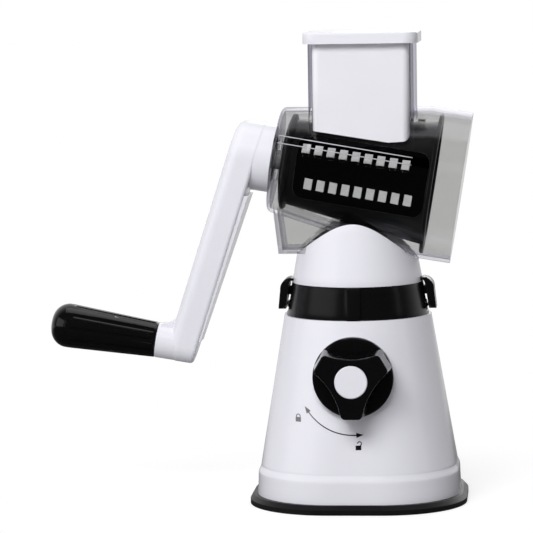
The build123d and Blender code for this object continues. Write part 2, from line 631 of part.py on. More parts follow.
def barrel_housing():
    """Clear barrel with its end wall, hood, chute, foot and saddle flange, in one moulding."""
    body = barrel_body(0, BARREL_MOUTH)
    body = fillet(body.edges().group_by(Axis.X)[0], 4.0)
    rail = barrel_body(0.8, BARREL_MOUTH) & (
        Pos(-8.2, -40, 15.7) * Box(89.8, 60, 5.4))
    cavity = barrel_body(-BARREL_WALL, BARREL_MOUTH + 5)
    chute = chute_prism(CHUTE_SIDE, CHUTE_CORNER, AXIS_Z, CHUTE_TOP)
    chute_hole = chute_prism(CHUTE_SIDE - 2 * CHUTE_WALL, CHUTE_CORNER - CHUTE_WALL,
                             AXIS_Z, CHUTE_TOP + 5)
    barrel = on_barrel(body + rail)
    hollow = on_barrel(cavity)
    boss = on_barrel(rod_x(14, BARREL_END + 1, BUSH_END))
    bore = on_barrel(rod_x(BUSH_R + 0.05, BARREL_END - 1, BUSH_END + 1))
    flange = neck_cone(0, DECK_Z + 8, SADDLE_Z - 6) & saddle_tool(SADDLE_R - 0.05)
    flange -= saddle_tool(SADDLE_R - FLANGE)
    floor_z = SADDLE_Z - SADDLE_R + 3.8
    left = -51.6
    wall = 2.4
    foot = slab([(left - 1.9, AXIS_Z - 10), (left - 1.9, floor_z + 26), (left + 1.0, floor_z),
                 (38, floor_z), (38, AXIS_Z - 30)], FOOT_HALF)
    room = slab([(left - 1.9 + wall, AXIS_Z - 10), (left - 1.9 + wall, floor_z + 26),
                 (left + 1.0 + wall, floor_z + wall), (37, floor_z + wall), (37, AXIS_Z - 30)],
                FOOT_HALF - wall)
    plug_low = DECK_Z + WALL
    plug = slab([(-33, plug_low), (-33, floor_z + 4), (30, floor_z + 2), (30, plug_low)],
                FOOT_HALF - 3)
    plug_room = slab([(-19, plug_low - 1), (-19, floor_z + 30), (19, floor_z + 30),
                      (19, plug_low - 1)], FOOT_HALF - 3 - wall)
    neck_room = neck_cone(-FREE, plug_low - 5, SADDLE_Z) - saddle_tool(SADDLE_R)
    foot = foot - room - neck_room
    foot += (plug - plug_room) & neck_cone(NECK_WALL + FREE, plug_low, SADDLE_Z)
    outside = barrel + chute + foot + flange
    shell = outside - hollow - chute_hole + boss - bore
    for x in (-NECK_SCREW_AT, NECK_SCREW_AT):
        shell -= Pos(x, 0, 0) * rod_z(1.5, plug_low - 1, plug_low + 14)
    return shell


def shaft_bush():
    """White bush in the end wall, in which the crank's shaft turns."""
    return on_barrel(rod_x(BUSH_R, BARREL_END, BUSH_END) - rod_x(SHAFT_R + RUNNING, -60, -40))


def thrust_washer():
    """Soft washer between the crank's hub and the barrel's end wall."""
    return on_barrel(rod_x(15, HUB_FACE + 0.1, BARREL_END) - rod_x(SHAFT_R + 0.2, -60, -50))


# ------------------------------------------------------------------ drum

HEX_FLAT = 4.5           # from the middle to a flat of the drive


def hexagon_x(flat, start, end):
    """Six-sided bar along X."""
    bar = extrude(RegularPolygon(flat, 6, major_radius=False), amount=end - start)
    return Pos(start, 0, 0) * Rot(0, 90, 0) * bar


def panel_prism(half, start, end, corner):
    """Bar with round corners that cuts one panel's window out of the cone, facing -Y."""
    face = Plane.XZ * Pos((start + end) / 2, 0) * RectangleRounded(end - start, 2 * half, corner)
    return extrude(face, amount=80)


def cone_x(offset, start, end):
    """Solid cone along X at an offset from the drum's outside."""
    return turned([(start, 0), (start, drum_r(start) + offset), (end, drum_r(end) + offset), (end, 0)])


def around(shape, index):
    """The same shape at one of the panels' places round the drum."""
    return Rot(-index * 360 / PANELS, 0, 0) * shape


def drum_frame():
    """Black frame: hollow cone with two round flanges, a drive socket and three windows."""
    edge = DRUM_LEFT
    rim = FLANGE_R_LEFT
    big = DRUM_RIGHT
    inside = drum_r(big + 1.3) - DRUM_WALL
    body = turned([
        (SOCKET_AT, 0), (SOCKET_AT, 15.5), (edge - 3.4, 16.4), (edge - 3.7, 18.0),
        (edge - 2.2, 27.5), (edge - 0.9, rim - 0.9), (edge - 0.2, rim), (edge + 1.4, rim),
        (edge + 2.2, rim - 0.8), (edge + 3.2, drum_r(edge + 3.2)),
        (big - 1.4, drum_r(big - 1.4)), (big - 1.2, FLANGE_R_RIGHT - 0.7),
        (big - 0.5, FLANGE_R_RIGHT), (big + 0.7, FLANGE_R_RIGHT), (big + 1.3, FLANGE_R_RIGHT - 0.6),
        (big + 1.3, inside), (edge + 2.6, drum_r(edge + 2.6) - DRUM_WALL - 0.3),
        (edge - 0.6, 24.6), (edge - 1.3, 18.8), (SOCKET_AT + 2.4, 17.8),
        (SOCKET_AT + 2.4, 8.5), (SOCKET_AT + 12, 8.5), (SOCKET_AT + 12, 0),
    ])
    body -= hexagon_x(HEX_FLAT + RUNNING, SOCKET_AT - 1, SOCKET_AT + 11)
    skin = cone_x(5, PANEL_FROM - 2, PANEL_TO + 0.4) - cone_x(-PANEL_THICK - 0.1, PANEL_FROM - 2, PANEL_TO + 0.4)
    recess = panel_prism(PANEL_HALF + 0.1, PANEL_FROM - 0.1, PANEL_TO + 0.1, 7.1) & skin
    window = panel_prism(PANEL_HALF - 2.0, PANEL_FROM + 2.2, PANEL_TO - 2.2, 5.0)
    for i in range(PANELS):
        body = body - around(recess, i) - around(window, i)
    return on_barrel(body)


def tooth_places():
    """Places (along, round) of the teeth on the panel that faces -Y."""
    middle = (PANEL_FROM + PANEL_TO) / 2 - 2.5
    for row, shift in ((ROW_AT, -ROW_STAGGER), (-ROW_AT, ROW_STAGGER)):
        for i in range(TEETH):
            yield middle + shift + (i - (TEETH - 1) / 2) * TOOTH_PITCH, row


def on_cone(shape, along, row):
    """Stand a shape made along Z on the cone, its length running round the drum."""
    radius = drum_r(along)
    turn = degrees(asin(row / radius))
    slope = degrees(atan2(DRUM_TAPER, 1))
    return Rot(90 - turn, 0, 0) * Pos(along, 0, radius) * Rot(0, -slope, 0) * shape


def drum_panel(index):
    """Steel panel with two rows of raised teeth, each open at its cutting edge."""
    sheet = cone_x(0, PANEL_FROM - 2, PANEL_TO + 2) - cone_x(-PANEL_THICK, PANEL_FROM - 3, PANEL_TO + 3)
    sheet = sheet & panel_prism(PANEL_HALF, PANEL_FROM, PANEL_TO, 7.0)
    back = TOOTH_LONG * 0.62
    front = TOOTH_LONG * 0.38
    gauge = PANEL_THICK
    # y runs round the drum: the hood rises towards -y, where its cutting edge is
    hood = extrude(Plane.YZ * make_face(Polyline(
        (back, -0.3), (-front, -0.3), (-front, TOOTH_HIGH), (back, 0.05), close=True)),
        amount=TOOTH_WIDE / 2, both=True)
    inner = Plane.YZ * make_face(Polyline(
        (back - 1.6, -3.0), (-front - 1.6, -3.0), (-front - 1.6, 0.3), (-front - 0.2, TOOTH_HIGH - gauge),
        (back - 1.6, -0.35), close=True))
    slot = extrude(inner, amount=TOOTH_WIDE / 2 - 0.7, both=True)
    for along, row in tooth_places():
        sheet += on_cone(hood, along, row)
    for along, row in tooth_places():
        sheet -= on_cone(slot, along, row)
    return on_barrel(around(sheet, index))


# ------------------------------------------------------------------ crank

ARM_OUT = HUB_FACE - 33.0       # outer face of the arm, level with the hub's lower edge
AXLE_AT = -CRANK_THROW
BOSS_LONG = 8.2491              # the boss stands this far out of the arm, level with the axle
BOSS_END = ARM_OUT - tan(radians(ARM_LEAN)) * (CRANK_THROW - HUB_R) - BOSS_LONG


def arm_faces(n):
    """Places of the outer and inner face of the arm at a distance n above the axis."""
    shift = tan(radians(ARM_LEAN)) * (n + HUB_R)
    return ARM_OUT + shift, ARM_OUT + shift + ARM_THICK / cos(radians(ARM_LEAN))


def crank_outline(inset, start, end):
    """Bar along X whose outline runs from the hub's circle down to the boss's circle."""
    big = HUB_R - inset
    small = BOSS_R_LOW - inset
    turn = acos((big - small) / CRANK_THROW)
    high = (big * sin(turn), -big * cos(turn))
    low = (small * sin(turn), -CRANK_THROW - small * cos(turn))
    face = make_face([
        ThreePointArc(high, (0, big), (-high[0], high[1])),
        Line((-high[0], high[1]), (-low[0], low[1])),
        ThreePointArc((-low[0], low[1]), (0, -CRANK_THROW - small), low),
        Line(low, high),
    ])
    return Pos(start, 0, 0) * extrude(Plane.YZ * face, amount=end - start)


def beyond_lean(place, right):
    """Everything on one side of a plane that leans with the arm, at a place below the hub."""
    side = Align.MIN if right else Align.MAX
    block = Box(300, 300, 900, align=(side, Align.CENTER, Align.CENTER))
    return Pos(place, 0, -HUB_R) * Rot(0, ARM_LEAN, 0) * block


def crank_arm():
    """White crank: hub on the barrel's axis, leaning rounded arm, boss for the grip."""
    outer, inner = arm_faces(-HUB_R)
    arm = crank_outline(0, -150, -40) & beyond_lean(outer, True) & beyond_lean(inner, False)
    for side, radius in ((-1, 7.5), (1, 2.5)):
        faces = [face for face in arm.faces() if side * face.normal_at().X > 0.9]
        arm = fillet(faces[0].edges(), radius)
    hub = rod_x(HUB_R - HUB_STEP, HUB_FACE - 12, HUB_FACE)
    boss = Pos(0, 0, -CRANK_THROW) * rod_x(BOSS_R_LOW - HUB_STEP, BOSS_END, BOSS_END + 20)
    gusset_x, gusset_n = BOSS_END + 1.5, -CRANK_THROW + BOSS_R_LOW
    lean_x = arm_faces(gusset_n + 8)[0] + 3
    gusset = extrude(Plane.XZ * make_face([
        ThreePointArc((gusset_x, gusset_n - 0.4), (gusset_x + 6.4, gusset_n + 1.6), (lean_x - 3, gusset_n + 8)),
        Polyline((lean_x - 3, gusset_n + 8), (lean_x, gusset_n - 3), (gusset_x, gusset_n - 3),
                 (gusset_x, gusset_n - 0.4)),
    ]), amount=6.5, both=True)
    body = arm + hub + boss + gusset
    body -= cover_blank(-0.1)
    pocket = crank_outline(3.2, -150, -40) & beyond_lean(outer + 3.2, True)
    body -= pocket & slab([(-140, POCKET_HIGH), (-40, POCKET_HIGH), (-40, POCKET_LOW), (-140, POCKET_LOW)], 40)
    body -= rod_x(SHAFT_R + RUNNING, HUB_FACE - 18, HUB_FACE + 1)
    body -= Pos(0, 0, AXLE_AT) * rod_x(AXLE_R + 0.03, BOSS_END - 1, BOSS_END + 16)
    return on_barrel(body)


BOSS_R_LOW = 12.1
HUB_STEP = 0.25           # the hub and the boss are this much slimmer than the arm round them
POCKET_HIGH = -HUB_R - 11.2     # the hollow of the arm, from here
POCKET_LOW = -CRANK_THROW + 18.4
COVER_SEAT = 1.2
COVER_HIGH = -HUB_R - 3.0
COVER_LOW = -CRANK_THROW + 4.0


def cover_blank(inset):
    """The cover's plate, proud of the arm's inner face, thinner towards the grip."""
    seat = COVER_SEAT + 0.05 - inset
    high = COVER_HIGH - inset
    low = COVER_LOW + inset
    sides = slab([(arm_faces(high)[1] - seat, high), (arm_faces(high)[1] + 2.3, high),
                  (arm_faces(low)[1] + 1.0, low), (arm_faces(low)[1] - seat, low)], 40)
    return sides & crank_outline(1.6 + inset, -150, -40)


def crank_cover():
    """White cover that snaps into the hollow arm on the side of the base."""
    return on_barrel(cover_blank(0))


def crank_shaft():
    """Shaft from the crank's hub through the bush, with a six-sided end for the drum."""
    shaft = rod_x(SHAFT_R, HUB_FACE - 17.9, SOCKET_AT - 0.6)
    return on_barrel(shaft + hexagon_x(HEX_FLAT, SOCKET_AT - 0.6, SOCKET_AT + 10.6))


GRIP_FROM = BOSS_END - FREE
SEAM_BACK = 10.0         # from the grip's end to the seam of its end plug


def grip_r(back):
    """Radius of the grip at a distance from its arm end."""
    return GRIP_R_ARM + (GRIP_R_END - GRIP_R_ARM) * back / (GRIP_LONG - 13)


def grip():
    """Black fluted grip that turns on its axle."""
    seam = GRIP_LONG - SEAM_BACK
    body = turned([(-1.0, 0), (0, 0), (0, GRIP_R_ARM - 0.5), (-0.6, GRIP_R_ARM),
                   (-(GRIP_LONG - 13), GRIP_R_END), (-seam, GRIP_R_END - 0.05), (-seam, 0)])
    flute = Rot(0, 90, 0) * Cylinder(FLUTE_R, GRIP_LONG, align=(Align.CENTER, Align.CENTER, Align.MAX))
    rise = degrees(atan2(grip_r(GRIP_LONG) - GRIP_R_ARM, GRIP_LONG))
    for i in range(FLUTES):
        lying = Pos(-2.0, 0, GRIP_R_ARM + FLUTE_R - 1.0) * Rot(0, rise + 0.35, 0) * (
            flute - Pos(-GRIP_LONG + 17, 0, 0) * Box(GRIP_LONG, 9, 9, align=(Align.MAX, Align.CENTER, Align.CENTER)))
        body -= Rot((i + 0.5) * 360 / FLUTES, 0, 0) * lying
    body -= rod_x(AXLE_R + RUNNING, -seam - 1, 1)
    body -= rod_x(AXLE_HEAD + FREE, -seam - 1, -seam + 8)
    return on_barrel(Pos(GRIP_FROM, 0, AXLE_AT) * body)


AXLE_HEAD = 6.5


def grip_end():
    """Rounded black plug that closes the end of the grip."""
    seam = GRIP_LONG - SEAM_BACK
    radius = GRIP_R_END - 0.05
    face = Plane.XZ * make_face([
        Line((-seam, 0), (-seam, radius)),
        ThreePointArc((-seam, radius), (-GRIP_LONG + 3.1, radius - 3.4), (-GRIP_LONG, radius - 9.5)),
        Polyline((-GRIP_LONG, radius - 9.5), (-GRIP_LONG - 0.3, 0), (-seam, 0)),
    ])
    plug = revolve(face, Axis.X)
    plug += rod_x(AXLE_HEAD + FREE - 0.1, -seam - 0.1, -seam + 3) - rod_x(AXLE_HEAD - 1.5, -seam, -seam + 4)
    return on_barrel(Pos(GRIP_FROM, 0, AXLE_AT) * plug)


def grip_axle():
    """Steel axle pressed into the crank's boss, with a head that keeps the grip on."""
    seam = GRIP_LONG - SEAM_BACK
    axle = rod_x(AXLE_R, -seam + 6, FREE + 15.5)
    axle += rod_x(AXLE_HEAD, -seam + 4.5, -seam + 7.6)
    return on_barrel(Pos(GRIP_FROM, 0, AXLE_AT) * axle)


# ------------------------------------------------------------------ pusher

SCOOP_GAP = TOOTH_HIGH + 1.0


def pusher_scoop(offset):
    """Tapered bar that leaves room under the pusher for the drum, its teeth and flanges."""
    low, high = -62.0, 62.0
    return on_barrel(cone_x(SCOOP_GAP + offset, low, high))


def pusher_blank(side, corner, edge):
    """Upright prism of the pusher down to a plane along the barrel's axis."""
    block = chute_prism(side, corner, AXIS_Z - 10, CHUTE_TOP)
    above = on_barrel(Pos(0, 0, edge) * Box(
        300, 300, 200, align=(Align.CENTER, Align.CENTER, Align.MIN)))
    return block & above


def pusher_body():
    """White hollow pusher with a scooped foot that follows the drum."""
    outer = pusher_blank(PUSHER_SIDE, CHUTE_CORNER - CHUTE_WALL - FREE / 2, PUSHER_EDGE)
    inner = pusher_blank(PUSHER_SIDE - 2 * PUSHER_WALL, 2.4, PUSHER_EDGE + PUSHER_WALL)
    return outer - pusher_scoop(0) - (inner - pusher_scoop(PUSHER_WALL))


def pusher_cap():
    """White lid of the pusher, which rests on the rim of the chute."""
    side = CHUTE_SIDE + 2 * CAP_OVERHANG
    plate = chute_prism(side, CHUTE_CORNER + 2, CHUTE_TOP, CHUTE_TOP + CAP_HEIGHT)
    plate = fillet(plate.edges().group_by(Axis.Z)[-1], 1.2)
    spigot_side = PUSHER_SIDE - 2 * PUSHER_WALL - 2 * SLIP
    spigot = chute_prism(spigot_side, 2.3, CHUTE_TOP - 5, CHUTE_TOP + 0.5)
    spigot -= chute_prism(spigot_side - 4, 1.5, CHUTE_TOP - 6, CHUTE_TOP)
    return plate + spigot


# ------------------------------------------------------------------ all pieces

def pieces():
    """Every node: its name and its solid, or its group of separate solids."""
    right_latch = latch()
    right_spring = latch_spring()
    yield "suction_pad", suction_pad()
    yield "base_ring", base_ring()
    yield "base_housing", base_housing()
    yield "inner_frame", inner_frame()
    yield "base_screws", base_screws()
    yield "cam_shaft", cam_shaft()
    yield "shaft_clip", shaft_clip()
    yield "lift_rod", lift_rod()
    yield "return_spring", return_spring()
    yield "knob", knob()
    yield "knob_cap", knob_cap()
    yield "knob_screw", knob_screw()
    yield "locking_collar", locking_collar()
    yield "collar_screws", collar_screws()
    yield "right_latch", right_latch
    yield "left_latch", mirrored(right_latch)
    yield "right_latch_spring", right_spring
    yield "left_latch_spring", mirrored(right_spring)
    yield "latch_pins", latch_pins()
    yield "neck", neck()
    yield "neck_screws", neck_screws()
    yield "barrel_housing", barrel_housing()
    yield "shaft_bush", shaft_bush()
    yield "thrust_washer", thrust_washer()
    yield "drum_frame", drum_frame()
    for i in range(PANELS):
        yield f"drum_panel_{i + 1}", drum_panel(i)
    yield "crank_arm", crank_arm()
    yield "crank_cover", crank_cover()
    yield "crank_shaft", crank_shaft()
    yield "grip", grip()
    yield "grip_end", grip_end()
    yield "grip_axle", grip_axle()
    yield "pusher_body", pusher_body()
    yield "pusher_cap", pusher_cap()


os.makedirs("parts", exist_ok=True)
for name, shape in pieces():
    if isinstance(shape, list):
        shape = Compound(children=[solid for group in shape for solid in group.solids()])
    export_step(shape, f"parts/{name}.step")
    print(name, round(shape.volume), len(shape.solids()))
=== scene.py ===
"""Looks of a hand-cranked drum shredder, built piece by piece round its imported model."""

from math import cos, hypot, pi, radians, sin, sqrt

import bmesh
import bpy
from mathutils import Matrix, Vector


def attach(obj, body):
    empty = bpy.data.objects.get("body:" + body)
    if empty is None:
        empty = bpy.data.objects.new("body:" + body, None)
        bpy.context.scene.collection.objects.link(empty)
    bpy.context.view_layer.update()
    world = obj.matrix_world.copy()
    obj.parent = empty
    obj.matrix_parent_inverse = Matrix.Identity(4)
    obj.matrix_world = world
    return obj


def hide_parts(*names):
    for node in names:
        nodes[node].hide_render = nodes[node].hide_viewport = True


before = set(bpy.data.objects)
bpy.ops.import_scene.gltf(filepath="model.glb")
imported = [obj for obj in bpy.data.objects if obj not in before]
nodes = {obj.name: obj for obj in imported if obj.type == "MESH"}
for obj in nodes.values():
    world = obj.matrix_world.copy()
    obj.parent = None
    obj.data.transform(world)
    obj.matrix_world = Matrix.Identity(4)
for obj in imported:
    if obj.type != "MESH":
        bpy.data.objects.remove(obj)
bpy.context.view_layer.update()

# ---------------------------------------------------------------- Studio
# A white table-top set: a pale floor that fades into a white surround, with large
# soft lamps left, right and above, and a camera with a long lens two metres away.

MM = 0.001
scene = bpy.context.scene
scene.view_settings.view_transform = "Standard"

PHOTO_SIDE = 533
FOCAL_PIXELS = 2957.1
CAMERA_AWAY = 1.9616
CAMERA_UP = 0.3537
CAMERA_ROUND = radians(3.57)
CAMERA_PAN = radians(1.77)
CAMERA_PITCH = radians(-5.76)
CAMERA_ROLL = radians(-0.93)

lens = bpy.data.cameras.new("studio_camera")
lens.sensor_width = 36.0
lens.lens = FOCAL_PIXELS / PHOTO_SIDE * 36.0
lens.clip_end = 60.0
camera = bpy.data.objects.new("studio_camera", lens)
scene.collection.objects.link(camera)
scene.camera = camera
yaw = CAMERA_ROUND + CAMERA_PAN
forward = Vector((-sin(yaw) * cos(CAMERA_PITCH), cos(yaw) * cos(CAMERA_PITCH), sin(CAMERA_PITCH)))
level = Vector((cos(yaw), sin(yaw), 0))
upright = level.cross(forward)
right = level * cos(CAMERA_ROLL) + upright * sin(CAMERA_ROLL)
up = upright * cos(CAMERA_ROLL) - level * sin(CAMERA_ROLL)
stand = Vector((CAMERA_AWAY * sin(CAMERA_ROUND), -CAMERA_AWAY * cos(CAMERA_ROUND), CAMERA_UP))
camera.matrix_world = Matrix((
    (right.x, up.x, -forward.x, stand.x),
    (right.y, up.y, -forward.y, stand.y),
    (right.z, up.z, -forward.z, stand.z),
    (0, 0, 0, 1),
))


def soft_lamp(name, place, aim, width, height, watts):
    """A rectangular studio lamp that faces a point."""
    data = bpy.data.lights.new(name, "AREA")
    data.shape = "RECTANGLE"
    data.size = width
    data.size_y = height
    data.energy = watts
    lamp = bpy.data.objects.new(name, data)
    scene.collection.objects.link(lamp)
    lamp.location = place
    lamp.rotation_euler = (Vector(aim) - Vector(place)).to_track_quat("-Z", "Y").to_euler()
    return lamp


soft_lamp("left_softbox", (-1.10, -0.66, 0.50), (0, 0, 0.17), 1.25, 0.72, 2.4)
soft_lamp("high_softbox", (-0.32, -1.30, 1.10), (0, 0, 0.22), 0.9, 0.6, 20.5)
# Left out of reflections, where it would draw a broad streak along the clear barrel.
bpy.data.objects["high_softbox"].visible_glossy = False
soft_lamp("right_strip", (1.25, -0.35, 0.55), (0, 0, 0.17), 0.10, 0.9, 0.3)
soft_lamp("top_softbox", (0.0, 0.15, 1.6), (0, 0, 0.15), 1.2, 0.9, 3.6)
soft_lamp("back_softbox", (0.5, 1.6, 0.9), (0, 0, 0.16), 1.4, 1.0, 9.0)


def shader_tree(name):
    """A new node material, its links and its output."""
    material = bpy.data.materials.new(name)
    material.use_nodes = True
    tree = material.node_tree
    tree.nodes.clear()
    output = tree.nodes.new("ShaderNodeOutputMaterial")
    return material, tree, output


def maths(tree, operation, first, second):
    """A Math node between two values, each a socket or a number."""
    node = tree.nodes.new("ShaderNodeMath")
    node.operation = operation
    for socket, value in zip(node.inputs, (first, second)):
        if isinstance(value, (int, float)):
            socket.default_value = value
        else:
            tree.links.new(value, socket)
    return node.outputs[0]


def ramped(tree, value, low, high, to_low, to_high):
    """A smooth Map Range node."""
    node = tree.nodes.new("ShaderNodeMapRange")
    node.interpolation_type = "SMOOTHSTEP"
    for key, number in (("From Min", low), ("From Max", high), ("To Min", to_low), ("To Max", to_high)):
        node.inputs[key].default_value = number
    tree.links.new(value, node.inputs["Value"])
    return node.outputs["Result"]


# The surround is white to the camera and through clear plastic. Shiny plastic and steel
# see it white behind the object and dark in front, as in a room lit from the sides.
surround = bpy.data.worlds.new("white_surround")
surround.use_nodes = True
scene.world = surround
sky = surround.node_tree
sky.nodes.clear()
sky_out = sky.nodes.new("ShaderNodeOutputWorld")
backdrop = sky.nodes.new("ShaderNodeBackground")
backdrop.inputs["Color"].default_value = (1, 1, 1, 1)
path = sky.nodes.new("ShaderNodeLightPath")
bearing = sky.nodes.new("ShaderNodeTexCoord")
parts_of = sky.nodes.new("ShaderNodeSeparateXYZ")
sky.links.new(bearing.outputs["Generated"], parts_of.inputs[0])
seen = maths(sky, "MAXIMUM", path.outputs["Is Camera Ray"], path.outputs["Is Transmission Ray"])
mirrored = maths(sky, "MULTIPLY", path.outputs["Is Glossy Ray"], ramped(
    sky, parts_of.outputs["Y"], -0.15, 0.75, 0.03, 0.9))
lit = maths(sky, "MULTIPLY", path.outputs["Is Diffuse Ray"], ramped(
    sky, parts_of.outputs["X"], -0.6, 0.6, 0.30, 0.17))
sky.links.new(maths(sky, "ADD", maths(sky, "MAXIMUM", seen, mirrored), lit), backdrop.inputs["Strength"])
sky.links.new(backdrop.outputs[0], sky_out.inputs["Surface"])

# The table is white to the camera, with the soft shadow of the foot kept, and fades to
# the same white as the surround a little way out. Shiny plastic sees its front part dark.
floor_look, floor_tree, floor_out = shader_tree("studio_floor")
matt = floor_tree.nodes.new("ShaderNodeBsdfDiffuse")
matt.inputs["Color"].default_value = (0.42, 0.42, 0.425, 1)
lift = floor_tree.nodes.new("ShaderNodeEmission")
bright = floor_tree.nodes.new("ShaderNodeEmission")
floor_path = floor_tree.nodes.new("ShaderNodeLightPath")
floor_place = floor_tree.nodes.new("ShaderNodeTexCoord")
reach = floor_tree.nodes.new("ShaderNodeVectorMath")
reach.operation = "LENGTH"
floor_tree.links.new(floor_place.outputs["Object"], reach.inputs[0])
spot = floor_tree.nodes.new("ShaderNodeSeparateXYZ")
floor_tree.links.new(floor_place.outputs["Object"], spot.inputs[0])
floor_seen = maths(floor_tree, "MAXIMUM", floor_path.outputs["Is Camera Ray"],
                   floor_path.outputs["Is Transmission Ray"])
floor_tree.links.new(maths(floor_tree, "MULTIPLY", floor_seen, 0.66), lift.inputs["Strength"])
floor_mirrored = floor_path.outputs["Is Glossy Ray"]
floor_tree.links.new(maths(floor_tree, "MAXIMUM", floor_seen, ramped(
    floor_tree, spot.outputs["Y"], 0.0, 0.8, 0.03, 0.8)), bright.inputs["Strength"])
far_out = maths(floor_tree, "MAXIMUM", floor_mirrored, maths(floor_tree, "MULTIPLY", floor_seen, ramped(
    floor_tree, reach.outputs["Value"], 0.09, 0.24, 0.0, 1.0)))
floor_near = floor_tree.nodes.new("ShaderNodeAddShader")
floor_tree.links.new(matt.outputs[0], floor_near.inputs[0])
floor_tree.links.new(lift.outputs[0], floor_near.inputs[1])
floor_mix = floor_tree.nodes.new("ShaderNodeMixShader")
floor_tree.links.new(far_out, floor_mix.inputs["Fac"])
floor_tree.links.new(floor_near.outputs[0], floor_mix.inputs[1])
floor_tree.links.new(bright.outputs[0], floor_mix.inputs[2])
floor_tree.links.new(floor_mix.outputs[0], floor_out.inputs["Surface"])

bm = bmesh.new()
bmesh.ops.create_grid(bm, x_segments=4, y_segments=4, size=20.0)
bmesh.ops.translate(bm, verts=bm.verts, vec=(0, 0, -0.0002))
floor_mesh = bpy.data.meshes.new("studio_floor")
bm.to_mesh(floor_mesh)
bm.free()
floor_mesh.materials.append(floor_look)
floor = bpy.data.objects.new("studio_floor", floor_mesh)
scene.collection.objects.link(floor)

# ---------------------------------------------------------------- Suction foot
# Soft black rubber, moulded in one piece with a bevelled rim. It is clamped under the
# base ring, and the knob's cam lifts its thin middle to hold the worktop.


def moulding(name, colour, rough, grain=0.02, relief=0.02, scale=900.0, gloss=0.5):
    """Moulded material: faint mottling in colour and sheen, with a fine surface grain."""
    material, tree, output = shader_tree(name)
    place = tree.nodes.new("ShaderNodeTexCoord")
    body = tree.nodes.new("ShaderNodeBsdfPrincipled")
    body.inputs["Specular IOR Level"].default_value = gloss
    cloud = tree.nodes.new("ShaderNodeTexNoise")
    cloud.inputs["Scale"].default_value = 28.0
    cloud.inputs["Detail"].default_value = 3.0
    shade = tree.nodes.new("ShaderNodeValToRGB")
    low = [max(c * (1 - grain), 0) for c in colour]
    high = [min(c * (1 + grain), 1) for c in colour]
    shade.color_ramp.elements[0].position = 0.3
    shade.color_ramp.elements[0].color = (*low, 1)
    shade.color_ramp.elements[1].position = 0.7
    shade.color_ramp.elements[1].color = (*high, 1)
    sheen = tree.nodes.new("ShaderNodeMapRange")
    sheen.inputs["To Min"].default_value = rough * 0.85
    sheen.inputs["To Max"].default_value = rough * 1.2
    fine = tree.nodes.new("ShaderNodeTexNoise")
    fine.inputs["Scale"].default_value = scale
    fine.inputs["Detail"].default_value = 2.0
    bump = tree.nodes.new("ShaderNodeBump")
    bump.inputs["Strength"].default_value = relief
    bump.inputs["Distance"].default_value = 0.0003
    tree.links.new(place.outputs["Object"], cloud.inputs["Vector"])
    tree.links.new(place.outputs["Object"], fine.inputs["Vector"])
    tree.links.new(cloud.outputs["Fac"], shade.inputs["Fac"])
    tree.links.new(cloud.outputs["Fac"], sheen.inputs["Value"])
    tree.links.new(fine.outputs["Fac"], bump.inputs["Height"])
    tree.links.new(shade.outputs["Color"], body.inputs["Base Color"])
    tree.links.new(sheen.outputs["Result"], body.inputs["Roughness"])
    tree.links.new(bump.outputs["Normal"], body.inputs["Normal"])
    tree.links.new(body.outputs[0], output.inputs["Surface"])
    return material


def dress(name, material, edge=0.0, segments=2):
    """Give a node of the frame its material, and ease its sharp edges."""
    thing = nodes[name]
    thing.data.materials.clear()
    thing.data.materials.append(material)
    if edge:
        weld = thing.modifiers.new("weld", "WELD")
        weld.merge_threshold = 0.00001
        ease = thing.modifiers.new("eased_edges", "BEVEL")
        ease.limit_method = "ANGLE"
        ease.angle_limit = radians(38)
        ease.width = edge * MM
        ease.segments = segments
        ease.harden_normals = False
        ease.use_clamp_overlap = True
    return thing


RUBBER = moulding("black_rubber", (0.008, 0.008, 0.009), 0.45, grain=0.12, relief=0.12,
                  scale=1400, gloss=0.35)
dress("suction_pad", RUBBER)

# ---------------------------------------------------------------- Base ring and tower
# Glossy white plastic. The tower is one deep moulding that flares to meet the ring,
# with a fine dark joint between them, and the ring clamps the rubber foot.

WHITE = moulding("white_gloss_plastic", (0.80, 0.795, 0.855), 0.2, grain=0.008, relief=0.008, gloss=0.4)
dress("base_ring", WHITE)
dress("base_housing", WHITE)

# ---------------------------------------------------------------- Marks by the knob
# Printed ink on the tower: a two-headed arrow round the knob, and a closed and an open
# padlock at its ends. It is cut flat, laid on the curved wall and made 0.12 mm thick.

MARK_AT = (0.0, 0.0888)          # middle of the knob, X and Z
ARROW_R = 38.0 * MM
ARROW_LINE = 0.72 * MM
ARROW_FROM = radians(-147.5)
ARROW_TO = radians(-81.5)
HEAD_OFF = 0.065                 # how far an arrowhead's middle lies back from its tip, in radians
INK_THICK = 0.12 * MM
MARK_PLANE = -0.075              # the marks are cut at this Y, in front of the tower

ink, ink_tree, ink_out = shader_tree("printed_ink")
ink_place = ink_tree.nodes.new("ShaderNodeTexCoord")
ink_split = ink_tree.nodes.new("ShaderNodeSeparateXYZ")
ink_tone = ink_tree.nodes.new("ShaderNodeValToRGB")
ink_tone.color_ramp.elements[0].color = (0.20, 0.20, 0.20, 1)
ink_tone.color_ramp.elements[1].color = (0.006, 0.006, 0.006, 1)
ink_body = ink_tree.nodes.new("ShaderNodeBsdfPrincipled")
ink_body.inputs["Roughness"].default_value = 0.45
ink_body.inputs["Specular IOR Level"].default_value = 0.3
ink_tree.links.new(ink_place.outputs["Object"], ink_split.inputs[0])
ink_tree.links.new(ramped(ink_tree, ink_split.outputs["X"], -0.034, -0.016, 0.0, 1.0), ink_tone.inputs["Fac"])
ink_tree.links.new(ink_tone.outputs["Color"], ink_body.inputs["Base Color"])
ink_tree.links.new(ink_body.outputs[0], ink_out.inputs["Surface"])


